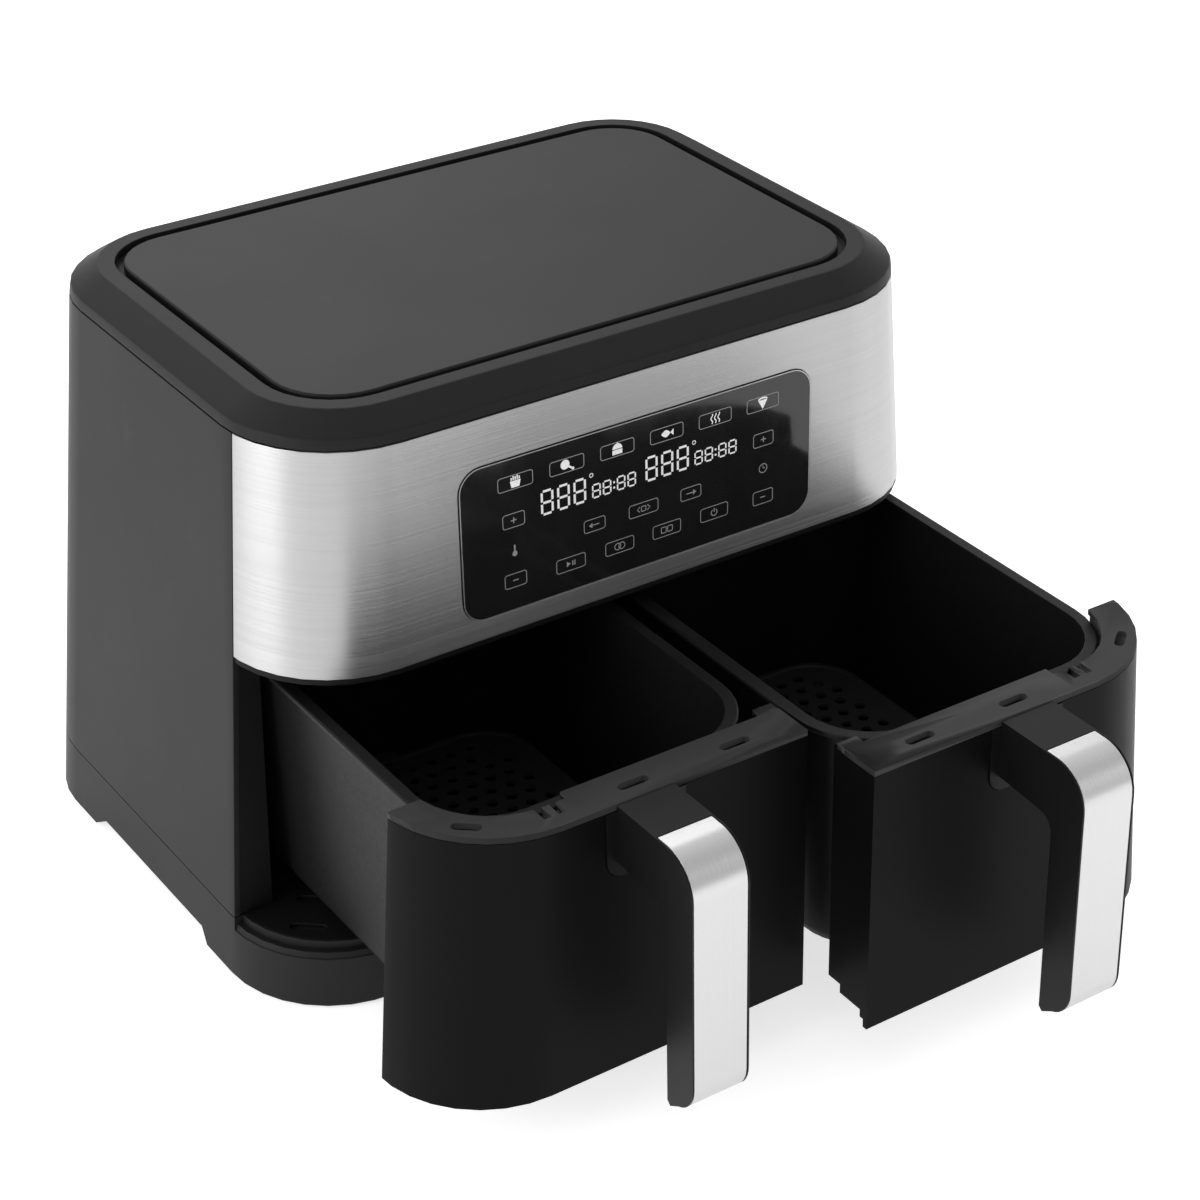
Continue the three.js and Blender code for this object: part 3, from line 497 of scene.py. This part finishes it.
def icon_grill(ink, x, z):
    for dx in (-1.9, 0.0, 1.9):
        wave = [(x + dx + 0.5 * math.sin(i * 1.1), z - 2.4 + 0.6 * i) for i in range(9)]
        ink.stroke(wave, 0.55)


def icon_pizza(ink, x, z):
    ink.face([(x, z - 2.8), (x + 2.6, z + 1.6), (x - 2.6, z + 1.6)])
    ink.stroke(arc_points(x, z - 2.4, 5.0, 60, 120, 8), 0.8)


def icon_play(ink, x, z):
    ink.face([(x - 2.2, z - 1.3), (x - 2.2, z + 1.3), (x - 0.2, z)])
    for dx in (0.9, 2.0):
        ink.stroke([(x + dx, z - 1.2), (x + dx, z + 1.2)], 0.55)


def icon_power(ink, x, z):
    ink.stroke(arc_points(x, z, 1.6, 125, 415, 14), 0.45)
    ink.stroke([(x, z + 0.2), (x, z + 2.0)], 0.45)


def icon_shake(ink, x, z):
    for way in (-1, 1):
        ink.stroke([(x + way * 2.0, z - 1.3), (x + way * 3.4, z), (x + way * 2.0, z + 1.3)], 0.4)
    ink.stroke(rounded_box(x, z, 2.4, 2.4, 0.6, 3), 0.4, closed=True)


def icon_together(ink, x, z):
    for dx in (-1.1, 1.1):
        ink.stroke(arc_points(x + dx, z, 1.6, 0, 360, 14), 0.4)


def icon_pair(ink, x, z):
    for dx in (-1.7, 1.7):
        ink.stroke(rounded_box(x + dx, z, 2.6, 2.8, 0.4, 2), 0.4, closed=True)


def icon_arrow(ink, x, z, way):
    ink.stroke([(x - way * 2.4, z), (x + way * 2.0, z)], 0.45)
    ink.face([(x + way * 1.2, z - 1.3), (x + way * 3.0, z), (x + way * 1.2, z + 1.3)])


def icon_plus(ink, x, z):
    ink.stroke([(x - 1.4, z), (x + 1.4, z)], 0.5)
    ink.stroke([(x, z - 1.4), (x, z + 1.4)], 0.5)


def icon_minus(ink, x, z):
    ink.stroke([(x - 1.4, z), (x + 1.4, z)], 0.5)


def icon_heat(ink, x, z):
    ink.stroke([(x, z + 2.6), (x, z - 0.6)], 0.8)
    ink.face(arc_points(x, z - 1.6, 1.3, 0, 330, 12))


def icon_clock(ink, x, z):
    ink.stroke(arc_points(x, z, 2.2, 0, 360, 18), 0.4)
    ink.stroke([(x, z + 1.4), (x, z), (x + 1.1, z)], 0.35)


def program_keys(frames, symbols):
    """The top row: one framed key for each kind of food."""
    pitch, height = 26.2, 61.5
    programs = (icon_fries, icon_drumstick, icon_cake, icon_fish, icon_grill, icon_pizza)
    for i, icon in enumerate(programs):
        x = (i - 2.5) * pitch + 0.5
        key(frames, x, height)
        icon(symbols, x, height)


def setting_keys(ink):
    """At each end of the panel, plus and minus keys with the symbol of what they set between them."""
    for x, symbol in ((-66.5, icon_heat), (66.5, icon_clock)):
        for z, mark in ((43.5, icon_plus), (14.5, icon_minus)):
            key(ink, x, z, 11.0)
            mark(ink, x, z)
        symbol(ink, x, 29.0)


def basket_keys(ink):
    """The middle row: left basket, shake, right basket."""
    height = 28.6
    for x, way in ((-25.2, -1), (26.4, 1)):
        key(ink, x, height, 11.0, 6.0)
        icon_arrow(ink, x, height, way)
    key(ink, 0.8, height, 15.5, 6.2)
    icon_shake(ink, 0.8, height)


def action_keys(ink):
    """The bottom row: start, finish together, cook both alike, power."""
    actions = ((6.6, icon_play), (6.4, icon_together), (6.4, icon_pair), (6.6, icon_power))
    for x, z, (height, symbol) in zip((-38.0, -12.2, 13.2, 39.2), (13.5, 14.0, 14.5, 15.0), actions):
        key(ink, x, z, 15.0, height)
        symbol(ink, x, z)


def panel_print():
    """Lit figures, framed keys and plain symbols on the touch glass."""
    bright = Print("panel_figures", INK)
    dim = Print("panel_keys", INK_DIM)
    for x in (-52.0, 2.6):
        readout(bright, x, 41.5)
    program_keys(dim, bright)
    setting_keys(dim)
    basket_keys(dim)
    action_keys(dim)
    bright.done()
    dim.done()


def panel_edge():
    """The bright cut edge of the steel round the touch glass."""
    low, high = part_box("control_panel")
    width, height = (high.x - low.x) / MM, (high.z - low.z) / MM
    line, corner = 0.5, 10.6
    rim = Print("panel_edge", BAND)
    rim.stroke(rounded_box(0.0, height / 2, width - line, height - line, corner, 10), line, closed=True)
    rim.done()


panel_print()
panel_edge()


# ---- Crisper plates ----


def rounded_ring(low, high, radius, steps=8):
    """Points round a rectangle from low to high whose corners have that radius."""
    x, y = (low.x + high.x) / 2, (low.y + high.y) / 2
    return [Vector(p) for p in rounded_box(x, y, high.x - low.x, high.y - low.y, radius, steps)]


def hole_places(low, high, pitch, margin):
    """Centres of staggered rows of holes that stay clear of the plate's edge."""
    row_pitch = pitch * math.sqrt(0.75)
    rows = int((high.y - low.y - 2 * margin) / row_pitch)
    middle = (low + high) / 2
    places = []
    for row in range(rows + 1):
        y = middle.y + (row - rows / 2) * row_pitch
        count = int((high.x - low.x - 2 * margin) / pitch) - row % 2
        places += [(middle.x + (i - count / 2) * pitch, y) for i in range(count + 1)]
    return places


def perforated_sheet(bm, outline, holes, z, thickness):
    """A flat sheet with round holes through it, its upper face at height z."""
    points, edges, owner = [], [], []
    for number, loop in enumerate((outline, *holes)):
        first = len(points)
        points += loop
        owner += [number] * len(loop)
        edges += [(first + i, first + (i + 1) % len(loop)) for i in range(len(loop))]
    made = delaunay_2d_cdt(points, edges, [], 1, 1e-7)
    verts = [bm.verts.new((p.x, p.y, z)) for p in made[0]]
    top = []
    for face in made[2]:
        loops = {owner[i] for i in face}
        # A triangle whose corners all lie on one hole fills that hole, so it is left out.
        if 0 in loops or len(loops) > 1:
            top.append(bm.faces.new([verts[i] for i in face]))
    below = bmesh.ops.extrude_face_region(bm, geom=top)
    moved = [v for v in below["geom"] if isinstance(v, bmesh.types.BMVert)]
    bmesh.ops.translate(bm, verts=moved, vec=(0.0, 0.0, -thickness))


PLATE_CORNER = 26 * MM
PLATE_SHEET = 1.6 * MM
RIM_HEIGHT = 0.8 * MM
HOLE_RADIUS = 2.7 * MM
HOLE_PITCH = 10.5 * MM


def plate_holes(low, high):
    """Round holes all over the plate, except where they would come too near its rounded corners."""
    holes = []
    for x, y in hole_places(low, high, HOLE_PITCH, 11 * MM):
        out_x = max(low.x + PLATE_CORNER - x, x - high.x + PLATE_CORNER, 0.0)
        out_y = max(low.y + PLATE_CORNER - y, y - high.y + PLATE_CORNER, 0.0)
        if math.hypot(out_x, out_y) < PLATE_CORNER - 9 * MM:
            holes.append([Vector(p) for p in arc_points(x, y, HOLE_RADIUS, 0, 330, 11)])
    return holes


def plate_feet(bm, low, high):
    """Four tapered feet that hold the sheet off the bottom of the pan."""
    depth = high.z - low.z - 2.2 * MM
    for x in (low.x + 17.5 * MM, high.x - 17.5 * MM):
        for y in (low.y + 18 * MM, high.y - 18 * MM):
            shape = {"segments": 20, "radius1": 3.2 * MM, "radius2": 4 * MM, "depth": depth}
            foot = bmesh.ops.create_cone(bm, cap_ends=True, **shape)
            bmesh.ops.translate(bm, verts=foot["verts"], vec=(x, y, low.z + depth / 2))


def plate_rim(bm, low, high):
    """The edge, turned up and rolled inwards."""
    path = [(0.0, -RIM_HEIGHT), (0.0, 0.0), (2.0 * MM, 0.0), (3.0 * MM, -RIM_HEIGHT)]
    rings = []
    for inset, rise in path:
        shrink = Vector((inset, inset, 0.0))
        loop = rounded_ring(low + shrink, high - shrink, PLATE_CORNER - inset)
        rings.append([bm.verts.new((p.x, p.y, high.z + rise)) for p in loop])
    for outer, inner in zip(rings, rings[1:]):
        for i in range(len(outer)):
            j = (i + 1) % len(outer)
            bm.faces.new((outer[i], outer[j], inner[j], inner[i]))


def crisper(side):
    """The plate as made: a perforated sheet with a rolled rim and four feet."""
    node = f"{side}_crisper_plate"
    low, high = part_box(node)
    bm = bmesh.new()
    outline = rounded_ring(low, high, PLATE_CORNER)
    perforated_sheet(bm, outline, plate_holes(low, high), high.z - RIM_HEIGHT, PLATE_SHEET)
    plate_feet(bm, low, high)
    plate_rim(bm, low, high)
    plate = build(f"{side}_crisper", bm, PLATE_COAT_PAINTED_LIGHTER, f"{side}_crisper", smooth=False)
    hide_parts(node)


for side in SIDES:
    crisper(side)


# ---- Stage ----


def pale_room():
    """A white room that is dark in one broad patch, ahead of the object and above it."""
    world = bpy.data.worlds.new("studio")
    world.use_nodes = True
    nodes, links = world.node_tree.nodes, world.node_tree.links
    toward = nodes.new("ShaderNodeVectorMath")
    toward.operation = "DOT_PRODUCT"
    toward.inputs[1].default_value = Vector((0.0, -0.75, 0.66)).normalized()
    links.new(nodes.new("ShaderNodeTexCoord").outputs["Generated"], toward.inputs[0])
    patch = nodes.new("ShaderNodeMapRange")
    patch.interpolation_type = "SMOOTHSTEP"
    for socket, value in (("From Min", 0.35), ("From Max", 0.9), ("To Min", 0.93), ("To Max", 0.6)):
        patch.inputs[socket].default_value = value
    links.new(toward.outputs["Value"], patch.inputs["Value"])
    links.new(patch.outputs["Result"], nodes["Background"].inputs["Strength"])
    nodes["Background"].inputs["Color"].default_value = grey(1.0)
    return world


def pale_floor():
    """A wide floor that glows a little, so that it stays white up to the object."""
    bm = bmesh.new()
    bmesh.ops.create_grid(bm, x_segments=1, y_segments=1, size=14.0)
    mesh = bpy.data.meshes.new("floor")
    bm.to_mesh(mesh)
    bm.free()
    n = Nodes("floor_white")
    speck = n.noise(35.0, 3.0, 0.5)
    n.set(Base_Color=n.mix(speck, grey(0.78), grey(0.8)), Roughness=0.7, Specular_IOR_Level=0.1)
    n.set(Emission_Color=grey(1.0), Emission_Strength=0.68)
    mesh.materials.append(n.material)
    floor = bpy.data.objects.new("floor", mesh)
    bpy.context.scene.collection.objects.link(floor)


def soft_lights():
    """Three large lamps aimed at the middle of the object: its left, its back and its right front."""
    middle = (Vector(CAD_BOX[0]) + Vector(CAD_BOX[1])) / 2
    for name, place, size, power in (
        ("key", (-2.0, 0.1, 0.7), 1.1, 16.0),
        ("back", (0.3, 1.6, 1.8), 1.6, 16.0),
        ("fill", (1.9, -1.2, 0.8), 1.0, 3.0),
    ):
        data = bpy.data.lights.new(name, "AREA")
        data.size = size
        data.energy = power
        lamp = bpy.data.objects.new(name, data)
        lamp.location = place
        lamp.rotation_euler = (middle - Vector(place)).to_track_quat("-Z", "Y").to_euler()
        bpy.context.scene.collection.objects.link(lamp)


def camera():
    """The view of a long lens from the front left, a little above the lid."""
    azimuth, elevation, distance = math.radians(-34.12), math.radians(30.77), 1.2834
    aim = Vector((-0.0069, -0.0056, 0.1531))
    back = Vector((math.sin(azimuth), -math.cos(azimuth), math.tan(elevation))) * math.cos(elevation)
    data = bpy.data.cameras.new("camera")
    data.lens = 85.0
    data.sensor_width = 36.0
    eye = bpy.data.objects.new("camera", data)
    eye.location = aim + back * distance
    eye.rotation_euler = (math.pi / 2 - elevation, 0.0, azimuth)
    bpy.context.scene.collection.objects.link(eye)
    bpy.context.scene.camera = eye


pale_floor()
soft_lights()
camera()
bpy.context.scene.world = pale_room()
bpy.context.scene.view_settings.view_transform = "Standard"
